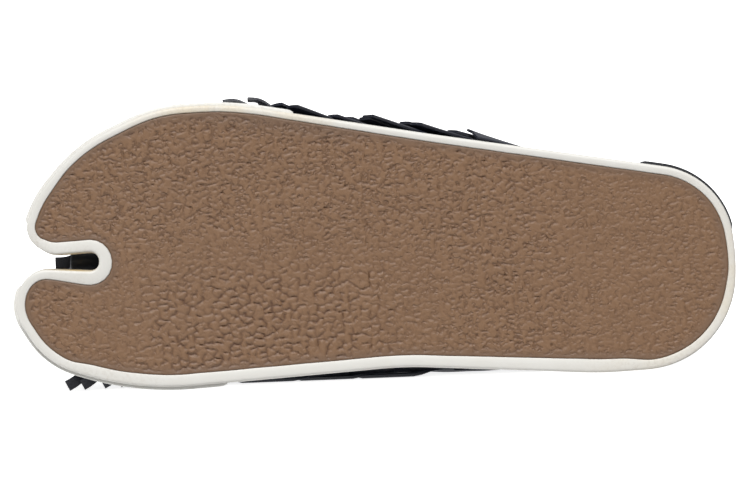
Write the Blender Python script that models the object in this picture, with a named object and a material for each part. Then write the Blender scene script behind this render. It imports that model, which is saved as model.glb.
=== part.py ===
"""Split-toe slide sandal for the left foot, lying on its inner side.

Shoe frame, in millimetres: u runs from the heel end to the toes, v from the inner side to the
outer side, z up from the tread to the foot. A parent empty lays the shoe on its inner side with
the tread facing -Y, leaning back a little, on a floor at Z = 0.
"""

import math

import bmesh
import bpy
import numpy as np
from mathutils import Matrix

MM = 0.001
GAP = 0.3
LEAN_DEG = 6.0

# Sole outline: corners joined by straight lines, each rounded by its radius, with the width of the
# rim that frames the tread there.
OUTLINE = (
    # name, along, across, radius, rim
    ("heel_end", -0.8, 40.5, 80.0, 2.9),
    ("heel_lateral", 2.6, 72.2, 30.5, 3.1),
    ("waist_lateral", 112.0, 91.6, 400.0, 2.9),
    ("ball_lateral_rear", 188.5, 106.1, 120.0, 2.4),
    ("ball_lateral", 216.5, 105.7, 60.0, 2.5),
    ("toe_lateral", 246.8, 92.5, 60.0, 2.7),
    ("toe_front_lateral", 263.2, 74.2, 40.0, 3.3),
    ("lobe_lateral", 269.8, 58.8, 9.0, 3.3),
    ("lip_lateral", 258.8, 51.6, 10.0, 4.6),
    ("slot_lateral", 240.3, 52.4, 3.5, 4.6),
    ("slot_medial", 240.3, 44.7, 3.5, 5.4),
    ("lip_medial", 266.6, 46.6, 11.5, 3.5),
    ("lobe_medial", 275.6, 32.6, 15.5, 3.5),
    ("toe_medial", 261.8, 10.5, 31.0, 3.5),
    ("ball_medial", 227.5, -0.95, 115.0, 4.5),
    ("waist_medial", 126.0, 4.5, 150.0, 4.4),
    ("heel_front", 51.5, -0.9, 150.0, 5.0),
    ("heel_medial", 2.2, 0.9, 36.0, 3.5),
)
ARC_STEP_DEG = 14.0
CHORD = 9.0
LINE_STEP = 24.0

# Sole heights
HEEL_HEIGHT = 22.0
FORE_HEIGHT = 18.0
HEIGHT_FROM = 70.0
HEIGHT_TO = 190.0
TOE_SPRING = 5.0
SPRING_FROM = 208.0
SPRING_TO = 270.0
STATIONS = (70, 100, 130, 160, 190, 208, 218, 228, 238, 248, 258)

# Midsole wall. Levels run from 0 at the tread to FULL at the lip: the last KEEP at either end
# keep their true size, and the stretch between them takes up the sole's changing height.
FULL = 100.0
KEEP = 6.0
WALL = (
    # name, level, out from the outline
    ("rim_flat", 0.0, -2.0),
    ("corner_low", 0.4, -1.0),
    ("corner_high", 1.1, -0.4),
    ("wall_foot", 2.4, 0.0),
    ("belly", 50.0, 0.6),
    ("wall_head", 98.0, 0.1),
    ("lip_edge", 100.0, -0.9),
)
LIP_THICK = 3.0
LIP_DEEP = 5.0
TREAD_DEEP = 3.6
TREAD_SUNK = 0.4
RIM_BREAK = 0.4

# Bumpers and heel strip, laid on the midsole wall
BAND_THICK = 1.0
BAND_BREAK = 0.35
BUMPER_LOW = 3.0
BUMPER_HIGH = 95.5
STRIP_THICK = 0.8
STRIP_LOW = 30.0
STRIP_HIGH = 62.0
BUMPER_LATERAL_FROM = 165.0
BUMPER_LATERAL_END_V = 64.0
BUMPER_MEDIAL_FROM = 194.0
BUMPER_MEDIAL_END_V = 40.0
STRIP_FROM_U = 33.5
STRIP_END_V = 51.5

# Insole
INSOLE_BREAK = 0.8
INSOLE_SUNK = 0.6
INSOLE_PAST = 12.0
INSOLE_EASE = 16.0

# Upper: sections of the last over the foot bed, from the rear edge of the vamp to the toes
WALL_UPPER = 2.0
LAST = (
    # name, along, ridge height, ridge shift, squareness, medial flare, lateral flare
    ("collar", 62.0, 66.0, -2.0, 2.3, 5.2, 3.0),
    ("arch", 90.0, 66.0, -2.5, 2.3, 3.9, 2.2),
    ("instep", 118.0, 63.0, -3.0, 2.3, 0.0, 0.6),
    ("waist", 156.0, 53.0, -3.0, 2.4, 0.0, 0.0),
    ("ball", 194.0, 41.0, -2.5, 2.6, 0.0, 0.0),
    ("toes", 230.0, 32.0, -1.5, 2.8, 0.0, 0.0),
    ("tips", 264.0, 26.0, -1.0, 2.9, 0.0, 0.0),
)
FLARE_HIGH = 44.0
SIDE_LIMIT_U = 256.0
# Valley of the split toe
SPLIT_ACROSS = 48.5
SPLIT_DEEP = 15.0
SPLIT_WIDE = 7.5
SPLIT_FROM = 196.0
SPLIT_FULL = 254.0
# Edges of the vamp and of the fringe, by the share of the way round from inner to outer side
EDGES = (
    # name, share, front edge, rear edge, root of first row, row spacing
    ("medial_base", 0.00, 230.0, 66.0, 214.0, 23.5),
    ("medial_side", 0.25, 244.0, 93.0, 227.0, 21.5),
    ("ridge", 0.47, 253.5, 112.0, 229.5, 20.0),
    ("cleft_lateral", 0.57, 252.0, 109.0, 228.5, 19.6),
    ("lateral_side", 0.72, 226.0, 98.0, 205.0, 18.6),
    ("lateral_base", 1.00, 170.0, 58.0, 153.0, 18.0),
)
ACROSS_STEPS = 36
ALONG_STEPS = 13

# Fringe
ROWS = 6
STRIP_PITCH = 7.2
SLIT = 1.1
FRINGE_GAP = 0.6
FRINGE_THICK = 1.1
TAPE = 6.0
STRIP_REACH = 1.5
FOOT_CLEAR = 7.5
FLOOR_CLEAR = 0.4
LAP = 2.5
LAPPED = 0.36
LAPPING = 0.64
LIFT_CURVE = 1.2
# How far the tips stand off, by share round the foot, for the first row and for the rows behind it
LIFT = (
    # share, first row, other rows
    (0.00, 5.5, 4.0),
    (0.12, 7.0, 3.6),
    (0.30, 2.0, 1.4),
    (0.60, 1.5, 1.4),
    (0.84, 2.6, 2.6),
    (0.94, 4.2, 3.8),
    (1.00, 5.0, 4.4),
)

# Colours, linear
BROWN = (0.25, 0.15, 0.09, 1.0)
CREAM = (0.80, 0.77, 0.70, 1.0)
WHITE = (0.84, 0.83, 0.80, 1.0)
BLACK = (0.012, 0.013, 0.017, 1.0)
CHARCOAL = (0.03, 0.03, 0.032, 1.0)


def unit(vector):
    return vector / np.linalg.norm(vector)


def smooth_step(value):
    value = np.clip(value, 0.0, 1.0)
    return value * value * (3.0 - 2.0 * value)


def smooth_row(table, key, column, at):
    """Smooth curve through one column of a table, read at a place on its key column."""
    keys = np.array([row[key] for row in table])
    values = np.array([row[column] for row in table])
    slopes = np.gradient(values, keys)
    at = np.clip(at, keys[0], keys[-1])
    i = np.clip(np.searchsorted(keys, at) - 1, 0, len(keys) - 2)
    span = keys[i + 1] - keys[i]
    t = (at - keys[i]) / span
    rise = (2 * t**3 - 3 * t**2 + 1) * values[i] + (3 * t**2 - 2 * t**3) * values[i + 1]
    return rise + span * ((t**3 - 2 * t**2 + t) * slopes[i] + (t**3 - t**2) * slopes[i + 1])


def sole_outline():
    """Points, outward directions and rim widths round the outline, heel to outer side to toes."""
    corners = np.array([row[1:3] for row in OUTLINE])
    points, outs, rims = [], [], []
    count = len(OUTLINE)
    for i in range(count):
        radius, rim = OUTLINE[i][3], OUTLINE[i][4]
        before = unit(corners[i] - corners[i - 1])
        after = unit(corners[(i + 1) % count] - corners[i])
        turn = math.atan2(before[0] * after[1] - before[1] * after[0], before @ after)
        start = corners[i] - before * abs(radius * math.tan(turn / 2))
        left = np.array([-before[1], before[0]])
        centre = start + left * math.copysign(radius, turn)
        steps = math.ceil(max(abs(math.degrees(turn)) / ARC_STEP_DEG, abs(turn) * radius / CHORD))
        if points:
            reach = np.linalg.norm(start - points[-1])
            fill = math.ceil(reach / LINE_STEP)
            for k in range(1, fill):
                points.append(points[-1] + before * reach / fill)
                outs.append(left)
                rims.append(rims[-1] + (rim - rims[-1]) * k / fill)
        for k in range(steps + 1):
            angle = turn * k / steps
            spin = np.array([[math.cos(angle), -math.sin(angle)], [math.sin(angle), math.cos(angle)]])
            points.append(centre + spin @ (start - centre))
            outs.append(spin @ left)
            rims.append(rim)
    return np.array(points), np.array(outs), np.array(rims)


def height_at(u):
    share = smooth_step((u - HEIGHT_FROM) / (HEIGHT_TO - HEIGHT_FROM))
    return HEEL_HEIGHT + (FORE_HEIGHT - HEEL_HEIGHT) * share


def spring_at(u):
    return TOE_SPRING * np.clip((u - SPRING_FROM) / (SPRING_TO - SPRING_FROM), 0.0, None) ** 2


STATION_U = np.array((-10.0,) + STATIONS + (280.0,))
STATION_HEIGHT = height_at(STATION_U)
STATION_SPRING = spring_at(STATION_U)


def true_height(u, level):
    """Height of a level of the sole at u, straight between the stations."""
    height = np.interp(u, STATION_U, STATION_HEIGHT)
    low = np.minimum(level, KEEP)
    high = np.maximum(level - (FULL - KEEP), 0.0)
    share = np.clip((level - KEEP) / (FULL - 2 * KEEP), 0.0, 1.0)
    return low + share * (height - 2 * KEEP) + high + np.interp(u, STATION_U, STATION_SPRING)


def wall_out(level):
    return np.interp(level, [row[1] for row in WALL], [row[2] for row in WALL])


def material(name, colour, roughness):
    made = bpy.data.materials.new(name)
    made.use_nodes = True
    made.diffuse_color = colour
    shader = made.node_tree.nodes["Principled BSDF"]
    shader.inputs["Base Color"].default_value = colour
    shader.inputs["Roughness"].default_value = roughness
    return made


def add_solid(name, verts, faces, look, to_true=False):
    """One closed solid. With to_true its levels are cut at the stations and set to true heights."""
    mesh = bpy.data.meshes.new(name)
    mesh.from_pydata([tuple(map(float, v)) for v in verts], [], faces)
    work = bmesh.new()
    work.from_mesh(mesh)
    if to_true:
        for station in STATIONS:
            geometry = work.verts[:] + work.edges[:] + work.faces[:]
            bmesh.ops.bisect_plane(
                work, geom=geometry, dist=1e-5, plane_co=(station, 0, 0), plane_no=(1, 0, 0)
            )
        for vert in work.verts:
            vert.co.z = true_height(vert.co.x, vert.co.z)
    bmesh.ops.recalc_face_normals(work, faces=work.faces[:])
    if work.calc_volume(signed=True) < 0.0:
        bmesh.ops.reverse_faces(work, faces=work.faces[:])
    bmesh.ops.scale(work, vec=(MM, MM, MM), verts=work.verts[:])
    work.to_mesh(mesh)
    work.free()
    mesh.materials.append(look)
    solid = bpy.data.objects.new(name, mesh)
    bpy.context.scene.collection.objects.link(solid)
    return solid


def stack(loops):
    """Closed loops with the same number of points joined into a solid, the first and last capped."""
    count = len(loops[0])
    verts = np.concatenate(loops)
    faces = [tuple(range(count))]
    for k in range(len(loops) - 1):
        for i in range(count):
            j = (i + 1) % count
            faces.append((k * count + i, k * count + j, (k + 1) * count + j, (k + 1) * count + i))
    faces.append(tuple(range((len(loops) - 1) * count, len(loops) * count)))
    return verts, faces


def sweep(sections):
    """Sections with the same number of points joined along a path, both ends closed."""
    size = len(sections[0])
    verts = np.concatenate(sections)
    faces = [tuple(range(size))]
    for k in range(len(sections) - 1):
        for i in range(size):
            j = (i + 1) % size
            faces.append((k * size + i, k * size + j, (k + 1) * size + j, (k + 1) * size + i))
    faces.append(tuple(range((len(sections) - 1) * size, len(sections) * size)))
    return verts, faces


def loop_at(out, level):
    """Loop at a distance out from the outline (one value or one for each point) and a level."""
    shift = np.broadcast_to(out, len(EDGE))[:, None]
    flat = EDGE + OUTWARD * shift
    return np.column_stack([flat, np.full(len(EDGE), level)])


def side_lines(u, out):
    """Inner and outer v of the outline at u, moved out by a distance."""
    loop = EDGE + OUTWARD * out
    ahead = np.roll(loop, -1, axis=0)
    crossing = (loop[:, 0] - u) * (ahead[:, 0] - u) < 0
    a, b = loop[crossing], ahead[crossing]
    v = a[:, 1] + (u - a[:, 0]) / (b[:, 0] - a[:, 0]) * (b[:, 1] - a[:, 1])
    return v.min(), v.max()


def add_midsole(look):
    loops = [loop_at(-RIM, TREAD_DEEP), loop_at(-RIM, RIM_BREAK), loop_at(RIM_BREAK - RIM, 0.0)]
    for _, level, out in WALL:
        loops.append(loop_at(out, level))
    loops.append(loop_at(-LIP_THICK, FULL))
    loops.append(loop_at(-LIP_THICK, FULL - LIP_DEEP))
    return add_solid("midsole", *stack(loops), look, to_true=True)


def add_outsole(look):
    inner = -(RIM + GAP)
    loops = (
        loop_at(inner - RIM_BREAK, TREAD_SUNK),
        loop_at(inner, TREAD_SUNK + RIM_BREAK),
        loop_at(inner, TREAD_DEEP - GAP),
    )
    return add_solid("outsole", *stack(loops), look, to_true=True)


def add_insole(look):
    room = np.zeros(len(EDGE))
    for i, (u, v) in enumerate(EDGE):
        side = EDGES[-1] if v > SPLIT_ACROSS else EDGES[0]
        inside = min(u - side[3], side[2] - u) + INSOLE_PAST
        room[i] = smooth_step(1.0 + inside / INSOLE_EASE) * (WALL_UPPER + 1.2 * GAP)
    edge = -(LIP_THICK + GAP) - room
    loops = (
        loop_at(edge, FULL - LIP_DEEP + GAP),
        loop_at(edge, FULL - INSOLE_SUNK - INSOLE_BREAK),
        loop_at(edge - INSOLE_BREAK, FULL - INSOLE_SUNK),
    )
    return add_solid("insole", *stack(loops), look, to_true=True)


def stretch(first, last):
    """Points and outward directions of the outline between two places on its run, in order."""
    run = np.concatenate([[0.0], np.cumsum(np.linalg.norm(np.diff(EDGE, axis=0), axis=1))])
    places = [first] + [place for place in run if first + 1.0 < place < last - 1.0] + [last]
    points = np.column_stack([np.interp(places, run, EDGE[:, k]) for k in (0, 1)])
    outs = np.column_stack([np.interp(places, run, OUTWARD[:, k]) for k in (0, 1)])
    return list(zip(points, outs))


def run_to(column, value, which):
    """Place on the outline's run where u (column 0) or v (column 1) passes a value, in order."""
    run = np.concatenate([[0.0], np.cumsum(np.linalg.norm(np.diff(EDGE, axis=0), axis=1))])
    step = EDGE[:, column] - value
    crossing = np.flatnonzero(step[:-1] * step[1:] <= 0)
    i = crossing[which]
    share = step[i] / (step[i] - step[i + 1])
    return run[i] + share * (run[i + 1] - run[i])


def add_band(name, path, thick, low, high, look):
    """Thin layer on the midsole wall along a stretch of the outline, between two levels."""
    sections = []
    levels = (low, 0.5 * (low + high), high)
    for point, outward in path:
        inner = [(wall_out(level) + GAP, level) for level in levels]
        outer = [
            (wall_out(high) + GAP + thick - BAND_BREAK, high),
            (wall_out(high) + GAP + thick, high - BAND_BREAK),
            (wall_out(levels[1]) + GAP + thick, levels[1]),
            (wall_out(low) + GAP + thick, low + BAND_BREAK),
            (wall_out(low) + GAP + thick - BAND_BREAK, low),
        ]
        ring = [(*(point + outward * out), level) for out, level in inner + outer]
        sections.append(np.array(ring))
    return add_solid(name, *sweep(sections), look, to_true=True)


def section(u):
    """Outer curve of the upper at u, from the inner base over the ridge to the outer base."""
    inner, outer = side_lines(min(u, SIDE_LIMIT_U), -(LIP_THICK + GAP))
    height = smooth_row(LAST, 1, 2, u)
    shift = smooth_row(LAST, 1, 3, u)
    power = 2.0 / smooth_row(LAST, 1, 4, u)
    flare_in = smooth_row(LAST, 1, 5, u)
    flare_out = smooth_row(LAST, 1, 6, u)
    turn = np.linspace(0.0, math.pi, 121)
    rise = np.abs(np.sin(turn)) ** power
    swing = np.sign(np.cos(turn)) * np.abs(np.cos(turn)) ** power
    v = 0.5 * (inner + outer) - 0.5 * (outer - inner) * swing + shift * rise**1.5
    up = height * rise
    belly = np.sin(math.pi * np.clip((up - LIP_DEEP) / FLARE_HIGH, 0.0, 1.0)) ** 2
    v = v - belly * np.where(swing > 0, flare_in, -flare_out)
    split = SPLIT_DEEP * smooth_step((u - SPLIT_FROM) / (SPLIT_FULL - SPLIT_FROM))
    up = up - split * np.exp(-(((v - SPLIT_ACROSS) / SPLIT_WIDE) ** 2)) * rise
    base = true_height(u, FULL - LIP_DEEP) + GAP
    return v, base + up


def vamp_point(u, share):
    v, z = section(u)
    run = np.concatenate([[0.0], np.cumsum(np.hypot(np.diff(v), np.diff(z)))])
    return np.array([u, np.interp(share * run[-1], run, v), np.interp(share * run[-1], run, z)])


def vamp_out(u, share):
    """Outward direction of the upper."""
    low, high = max(share - 0.006, 0.0), min(share + 0.006, 1.0)
    along = vamp_point(u + 1.0, share) - vamp_point(u - 1.0, share)
    across = vamp_point(u, high) - vamp_point(u, low)
    return unit(np.cross(along, across))


def girth(u):
    v, z = section(u)
    return np.hypot(np.diff(v), np.diff(z)).sum()


def edge_at(column, share):
    return smooth_row(EDGES, 1, column, share)


def grid_faces(rows, columns, first, keep=None):
    """Quads of a grid of points, row by row, or only those that keep allows."""
    faces = []
    for r in range(rows - 1):
        for c in range(columns - 1):
            if keep is None or keep(r, c):
                i = first + r * columns + c
                faces.append((i, i + 1, i + columns + 1, i + columns))
    return faces


def add_upper(look):
    outer, inner = [], []
    for c in range(ACROSS_STEPS + 1):
        share = c / ACROSS_STEPS
        front, rear = edge_at(2, share), edge_at(3, share)
        for r in range(ALONG_STEPS + 1):
            u = rear + (front - rear) * r / ALONG_STEPS
            point = vamp_point(u, share)
            outer.append(point)
            inside = point - WALL_UPPER * vamp_out(u, share)
            if c in (0, ACROSS_STEPS):
                inside[2] = point[2]
            inner.append(inside)
    rows, columns = ACROSS_STEPS + 1, ALONG_STEPS + 1
    size = rows * columns
    faces = grid_faces(rows, columns, 0) + grid_faces(rows, columns, size)
    ring = [c for c in range(columns)]
    ring += [r * columns + columns - 1 for r in range(1, rows)]
    ring += [(rows - 1) * columns + c for c in range(columns - 2, -1, -1)]
    ring += [r * columns for r in range(rows - 2, 0, -1)]
    for a, b in zip(ring, ring[1:] + ring[:1]):
        faces.append((a, b, b + size, a + size))
    return add_solid("upper", np.array(outer + inner), faces, look)


def floor_level(point):
    """Height of a point of the shoe frame in the lying shoe, before it is set down."""
    lean = math.radians(LEAN_DEG)
    return point[1] * math.cos(lean) - point[2] * math.sin(lean)


def fringe_offset(row, share, reach):
    """How far the under side of a strip stands off the upper at a share of its length."""
    column = 1 if row == 0 else 2
    tip = smooth_row(LIFT, 0, column, share)
    return FRINGE_GAP + LAP * reach + tip * reach**LIFT_CURVE


def strip_point(row, share, distance, length, over):
    u = edge_at(4, share) - row * edge_at(5, share) + distance
    point = vamp_point(u, share)
    out = vamp_out(u, share)
    rise = fringe_offset(row, share, distance / length) + over
    under_next = 1.0 - smooth_step((distance / length - LAPPED) / (LAPPING - LAPPED))
    clear = FLOOR_CLEAR + FRINGE_THICK - over + under_next * (FRINGE_THICK + GAP)
    room = floor_level(point) - FLOOR - clear
    fall = -floor_level(out)
    if fall > 0.05:
        rise = min(rise, room / fall)
    return point + out * rise


def add_fringe(row, look):
    middle = edge_at(4, 0.5) - row * edge_at(5, 0.5)
    reach = girth(middle)
    low, high = FOOT_CLEAR / reach, 1.0 - FOOT_CLEAR / reach
    count = round((high - low) * reach / STRIP_PITCH)
    pitch = (high - low) / count
    slit = SLIT / reach
    shares = []
    for k in range(count):
        shares += [low + k * pitch + slit / 2, low + (k + 1) * pitch - slit / 2]
    steps = 5
    under, over = [], []
    for share in shares:
        length = edge_at(5, share) * STRIP_REACH
        for distance in (0.0, TAPE, LAPPED * length, LAPPING * length, length):
            under.append(strip_point(row, share, distance, length, 0.0))
            over.append(strip_point(row, share, distance, length, FRINGE_THICK))
    size = len(under)
    columns = len(shares)

    def solid_quad(r, c):
        return c == 0 or r % 2 == 0

    faces = grid_faces(columns, steps, 0, solid_quad) + grid_faces(columns, steps, size, solid_quad)

    def wall(r0, c0, r1, c1):
        a, b = r0 * steps + c0, r1 * steps + c1
        faces.append((a, b, b + size, a + size))

    for r in range(columns - 1):
        wall(r, 0, r + 1, 0)
        if r % 2 == 0:
            wall(r, steps - 1, r + 1, steps - 1)
        else:
            wall(r, 1, r + 1, 1)
    for r in range(columns):
        for c in range(1, steps - 1):
            wall(r, c, r, c + 1)
    wall(0, 0, 0, 1)
    wall(columns - 1, 0, columns - 1, 1)
    return add_solid(f"fringe_row_{row + 1}", np.array(under + over), faces, look)


def lay_down(solids):
    """Parent the solids to an empty that lays the shoe down, its box centred over the origin."""
    lean = math.radians(LEAN_DEG)
    turn = Matrix(
        (
            (-1.0, 0.0, 0.0),
            (0.0, math.sin(lean), math.cos(lean)),
            (0.0, math.cos(lean), -math.sin(lean)),
        )
    )
    placed = np.array([turn @ v.co for solid in solids for v in solid.data.vertices])
    low, high = placed.min(axis=0), placed.max(axis=0)
    holder = bpy.data.objects.new("sandal", None)
    bpy.context.scene.collection.objects.link(holder)
    holder.matrix_world = turn.to_4x4()
    holder.location = (-(low[0] + high[0]) / 2, -(low[1] + high[1]) / 2, -low[2])
    for solid in solids:
        solid.parent = holder


for old in list(bpy.data.objects):
    bpy.data.objects.remove(old, do_unlink=True)

EDGE, OUTWARD, RIM = sole_outline()

leather = material("black_leather", BLACK, 0.5)
fringe_leather = material("black_fringe_leather", BLACK, 0.55)
parts = [
    add_outsole(material("brown_rubber", BROWN, 0.6)),
    add_midsole(material("cream_rubber", CREAM, 0.55)),
    add_insole(material("insole_leather", CHARCOAL, 0.7)),
    add_upper(leather),
]
white = material("white_rubber", WHITE, 0.5)
black = material("black_rubber", BLACK, 0.45)
around_lateral = stretch(run_to(0, BUMPER_LATERAL_FROM, 0), run_to(1, BUMPER_LATERAL_END_V, 1))
around_medial = stretch(run_to(1, BUMPER_MEDIAL_END_V, 1), run_to(0, BUMPER_MEDIAL_FROM, -1))
around_heel = stretch(run_to(1, STRIP_END_V, 0), run_to(0, STRIP_FROM_U, 0))
parts += [
    add_band("toe_bumper_lateral", around_lateral, BAND_THICK, BUMPER_LOW, BUMPER_HIGH, white),
    add_band("toe_bumper_medial", around_medial, BAND_THICK, BUMPER_LOW, BUMPER_HIGH, white),
    add_band("heel_strip", around_heel, STRIP_THICK, STRIP_LOW, STRIP_HIGH, black),
]

sole_points = [v.co / MM for solid in parts if solid.name != "upper" for v in solid.data.vertices]
FLOOR = min(floor_level(point) for point in sole_points)
for row in range(ROWS):
    parts.append(add_fringe(row, fringe_leather))
lay_down(parts)
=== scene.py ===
# %% [markdown]
# # A split-toe slide sandal, lying on its inner side
# The sandal is a worn left one: a brown crackled tread in a cream rubber cup, a black leather vamp
# open at the toes and the heel, and six rows of cut leather fringe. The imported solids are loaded
# first as a fixed frame. Every piece below is made in the shoe's own millimetres and then laid down
# by one matrix, so that it falls exactly where its solid is.

# %% Load the frame
import functools
import math

import bmesh
import bpy
import numpy as np
from mathutils import Matrix, Vector, kdtree, noise


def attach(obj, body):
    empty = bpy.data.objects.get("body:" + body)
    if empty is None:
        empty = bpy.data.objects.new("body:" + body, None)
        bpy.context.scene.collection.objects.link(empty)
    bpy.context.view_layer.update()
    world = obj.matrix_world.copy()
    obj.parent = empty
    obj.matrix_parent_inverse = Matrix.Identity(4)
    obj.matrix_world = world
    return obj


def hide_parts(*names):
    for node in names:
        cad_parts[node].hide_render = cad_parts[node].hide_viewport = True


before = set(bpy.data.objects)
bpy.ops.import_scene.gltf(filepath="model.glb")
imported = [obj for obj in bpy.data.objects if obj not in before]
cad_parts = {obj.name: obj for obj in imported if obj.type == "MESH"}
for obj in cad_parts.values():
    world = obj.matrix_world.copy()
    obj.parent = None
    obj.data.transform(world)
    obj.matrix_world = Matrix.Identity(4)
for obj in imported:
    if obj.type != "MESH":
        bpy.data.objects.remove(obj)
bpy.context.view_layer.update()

print("solids:", sorted(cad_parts))

# %% [markdown]
# ## The shoe's own frame
# A shoemaker measures along the sole from the heel (u), across it from the inner side (v) and up
# from the tread (z). The shoe then lies on its inner side and leans back six degrees. One matrix
# does both, and it also turns millimetres into metres.

# %% Lay the shoe down
LEAN = math.radians(6.0)
SET_DOWN = Vector((136.7387, -42.4503, 2.8639))
LAY = Matrix.Scale(0.001, 4) @ Matrix.Translation(SET_DOWN) @ Matrix((
    (-1.0, 0.0, 0.0, 0.0),
    (0.0, math.sin(LEAN), math.cos(LEAN), 0.0),
    (0.0, math.cos(LEAN), -math.sin(LEAN), 0.0),
    (0.0, 0.0, 0.0, 1.0),
))
GAP = 0.3  # play between neighbouring pieces, in mm


def floor_height(point):
    """Height over the floor, in mm, of points of the shoe frame."""
    return point[..., 1] * math.cos(LEAN) - point[..., 2] * math.sin(LEAN) + SET_DOWN.z


def smooth_step(value):
    """A soft step from 0 to 1 while the value goes from 0 to 1."""
    value = np.clip(value, 0.0, 1.0)
    return value * value * (3.0 - 2.0 * value)


print(f"the shoe leans back {math.degrees(LEAN):.0f} degrees")

# %% [markdown]
# ## Colour and nodes
# Colours are written as they are seen on a screen, as hex values, and turned to linear light by one
# function. Another adds a shader node, sets it, links it and hands back its output, so that a
# material reads from top to bottom like a recipe. Pattern sizes are given in millimetres: a noise
# of scale s has about s features in a metre, so its scale is 1000 divided by the size of one.

# %% Helpers for materials
# A Mix node that blends colours takes them at its inputs 6 and 7 and gives the blend at output 2.
COLOURS = {"data_type": "RGBA", "out": 2}
WHITE = (1.0, 1.0, 1.0, 1.0)


def linear(hex_colour):
    """Linear RGBA of an sRGB hex colour."""
    parts = [int(hex_colour[i:i + 2], 16) / 255.0 for i in (1, 3, 5)]
    light = [p / 12.92 if p <= 0.04045 else ((p + 0.055) / 1.055) ** 2.4 for p in parts]
    return (*light, 1.0)


def per_mm(size):
    """Texture scale for features of that size in millimetres."""
    return 1000.0 / size


def set_inputs(node, inputs):
    """Set a node's inputs to plain values, or link them to the outputs of other nodes."""
    for key, value in inputs.items():
        if isinstance(value, bpy.types.NodeSocket):
            node.id_data.links.new(value, node.inputs[key])
        else:
            node.inputs[key].default_value = value


def add_node(tree, kind, inputs=None, out=0, **settings):
    """Add a shader node with its settings and inputs. Gives the output that is linked onward."""
    made = tree.nodes.new("ShaderNode" + kind)
    for key, value in settings.items():
        setattr(made, key, value)
    set_inputs(made, inputs or {})
    return made.outputs[out]


def new_material(name):
    """An empty material, its shader, its own add_node, and the place on the object in metres."""
    made = bpy.data.materials.new(name)
    made.use_nodes = True
    add = functools.partial(add_node, made.node_tree)
    print("material:", name)
    return made, made.node_tree.nodes["Principled BSDF"], add, add("TexCoord", out="Object")


# %% [markdown]
# ## Making a piece
# Every piece is a closed mesh from arrays of points. It is laid down, shaded smooth except at real
# corners, tied to the body of the shoe and set in the place of the solid that it stands for.

# %% Helper for pieces
def add_piece(name, verts, faces, look, stands_for=None, sharp_deg=45.0, marks=None):
    """A closed mesh in the shoe frame, with marks: named values per point for its material."""
    mesh = bpy.data.meshes.new(name)
    mesh.from_pydata(np.asarray(verts, float).tolist(), [], faces)
    work = bmesh.new()
    work.from_mesh(mesh)
    bmesh.ops.recalc_face_normals(work, faces=work.faces[:])
    work.to_mesh(mesh)
    work.free()
    for mark, values in (marks or {}).items():
        layer = mesh.attributes.new(mark, "FLOAT", "POINT")
        layer.data.foreach_set("value", np.ascontiguousarray(values, np.float32))
    mesh.transform(LAY)
    mesh.shade_smooth()
    mesh.set_sharp_from_angle(angle=math.radians(sharp_deg))
    mesh.materials.append(look)
    piece = bpy.data.objects.new(name, mesh)
    bpy.context.scene.collection.objects.link(piece)
    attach(piece, "root")
    if stands_for:
        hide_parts(stands_for)
    count = sum(len(face) - 2 for face in faces)
    print(f"{name}: {len(verts)} points, {count} triangles")


def ring_faces(rings, size, first=0):
    """Faces that join closed rings of the same size, and the caps of the first and last."""
    faces = []
    for k in range(rings - 1):
        a, b = first + k * size, first + (k + 1) * size
        faces += [(a + i, a + (i + 1) % size, b + (i + 1) % size, b + i) for i in range(size)]
    last = first + (rings - 1) * size
    return faces + [tuple(range(first, first + size)), tuple(range(last, last + size))]


# %% [markdown]
# ## The outline of the sole
# The sole's edge is a chain of corners joined by straight lines, each corner rounded by its own
# radius, as a pattern cutter would draw it. The last column is the width of the cream rim that
# frames the tread there. The edge is walked in short even steps, with the direction that points
# outward at each step.

# %% Outline
OUTLINE = (
    # name, along, across, radius, rim
    ("heel_end", -0.8, 40.5, 80.0, 2.9),
    ("heel_lateral", 2.6, 72.2, 30.5, 3.1),
    ("waist_lateral", 112.0, 91.6, 400.0, 2.9),
    ("ball_lateral_rear", 188.5, 106.1, 120.0, 2.4),
    ("ball_lateral", 216.5, 105.7, 60.0, 2.5),
    ("toe_lateral", 246.8, 92.5, 60.0, 2.7),
    ("toe_front_lateral", 263.2, 74.2, 40.0, 3.3),
    ("lobe_lateral", 269.8, 58.8, 9.0, 3.3),
    ("lip_lateral", 258.8, 51.6, 10.0, 4.6),
    ("slot_lateral", 240.3, 52.4, 3.5, 4.6),
    ("slot_medial", 240.3, 44.7, 3.5, 5.4),
    ("lip_medial", 266.6, 46.6, 11.5, 3.5),
    ("lobe_medial", 275.6, 32.6, 15.5, 3.5),
    ("toe_medial", 261.8, 10.5, 31.0, 3.5),
    ("ball_medial", 227.5, -0.95, 115.0, 4.5),
    ("waist_medial", 126.0, 4.5, 150.0, 4.4),
    ("heel_front", 51.5, -0.9, 150.0, 5.0),
    ("heel_medial", 2.2, 0.9, 36.0, 3.5),
)
EDGE_STEP = 1.1


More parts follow.
